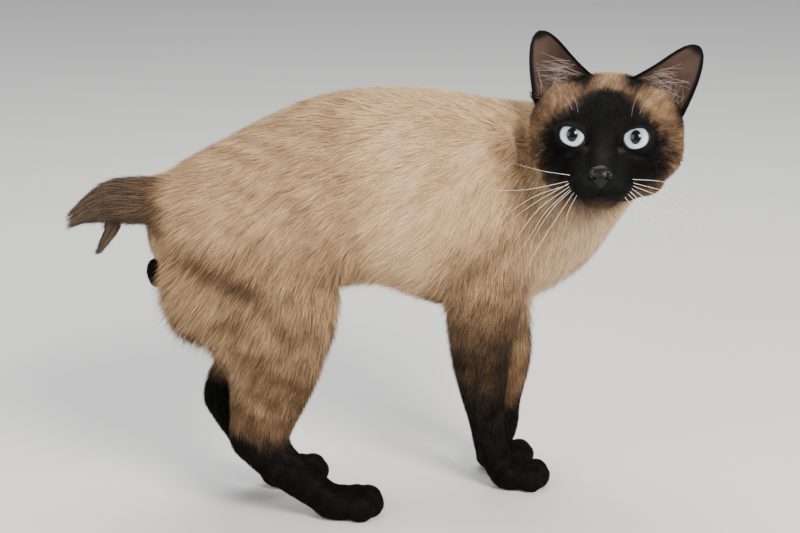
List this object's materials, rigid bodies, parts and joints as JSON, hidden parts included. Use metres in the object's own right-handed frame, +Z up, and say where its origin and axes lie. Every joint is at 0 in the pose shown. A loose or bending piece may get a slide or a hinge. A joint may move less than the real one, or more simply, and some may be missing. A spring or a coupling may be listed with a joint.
{
  "type": "mekong bobtail cat",
  "caption": "Life-size short-haired pointed cat with a short kinked tail, standing on four paws with its head turned over its right shoulder.",
  "frame": {"origin": "on the floor, under the middle of the cat's bounding box", "axes": "+X towards the cat's chest, +Y to its left flank, +Z up; the face looks to -Y"},
  "size_m": [0.3968, 0.177, 0.3199],
  "materials": {
    "body_fur": "short soft fur, beige",
    "leg_fur": "short fur, beige going to brown",
    "shank_fur": "short fur, brown",
    "point_fur": "short fur, nearly black",
    "head_fur": "short fur, dark mask with brown patches",
    "tail_fur": "longer fur, dark grey-brown",
    "ear_fur": "thin fur, dark rim",
    "eye": "wet and glossy, pale blue iris",
    "nose": "damp dark leather"
  },
  "bodies": {
    "root": {"head": "head_fur", "right_ear": "ear_fur", "left_ear": "ear_fur", "right_eye": "eye", "left_eye": "eye", "nose_leather": "nose", "neck": "body_fur", "torso": "body_fur", "tail_base": "tail_fur", "tail_tip": "tail_fur", "scrotum": "point_fur", "right_thigh": "leg_fur", "left_thigh": "leg_fur", "right_shank": "shank_fur", "left_shank": "shank_fur", "right_hind_foot": "point_fur", "left_hind_foot": "point_fur", "right_hind_paw": "point_fur", "left_hind_paw": "point_fur", "right_upper_foreleg": "leg_fur", "left_upper_foreleg": "leg_fur", "right_forearm": "shank_fur", "left_forearm": "shank_fur", "right_forepaw": "point_fur", "left_forepaw": "point_fur"}
  },
  "joints": []
}
